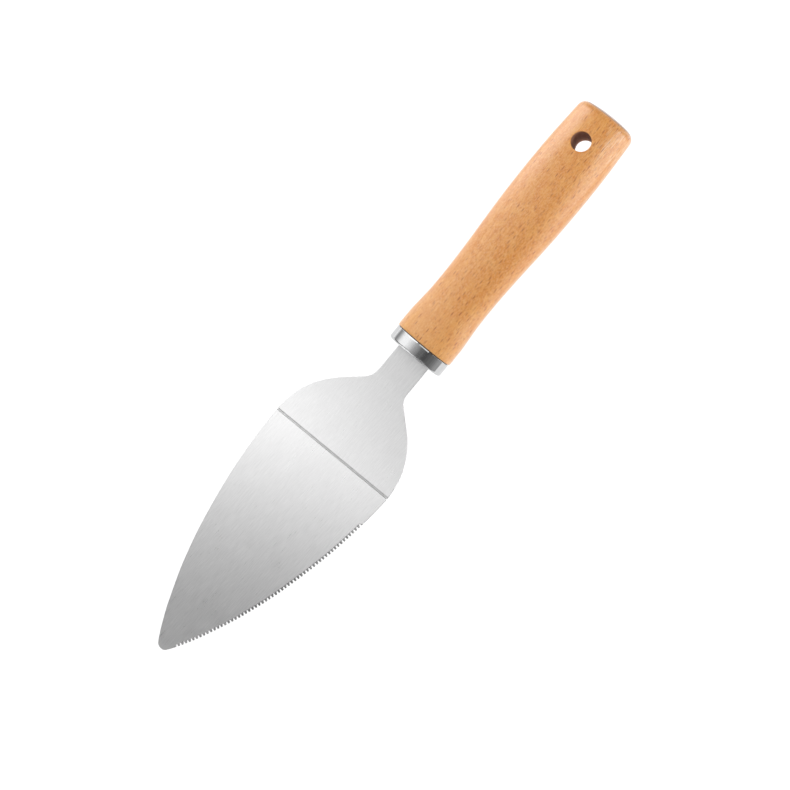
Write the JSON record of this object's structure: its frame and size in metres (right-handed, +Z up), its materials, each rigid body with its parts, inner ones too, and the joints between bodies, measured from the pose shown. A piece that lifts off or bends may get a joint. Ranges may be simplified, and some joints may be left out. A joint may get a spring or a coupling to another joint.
{
  "type": "cake server",
  "caption": "Leaf-shaped folded stainless cake and pizza server with a serrated edge, short polished ferrule and oval beech handle with a hanging hole.",
  "frame": {"origin": "on the surface that the server lies on, at the middle of its length and width", "axes": "+X from the blade's tip to the butt of the handle, +Y to the plain edge, +Z up, away from the surface"},
  "size_m": [0.2606, 0.0556, 0.0374],
  "materials": {
    "blade_steel": "finely brushed along the length",
    "ferrule_steel": "polished stainless steel",
    "handle_wood": "sanded beech with a satin clear coat",
    "cured_adhesive": "cured, hidden inside the wood"
  },
  "bodies": {
    "root": {"blade": "blade_steel", "ferrule": "ferrule_steel", "handle": "handle_wood", "tang_adhesive": "cured_adhesive"}
  },
  "joints": []
}
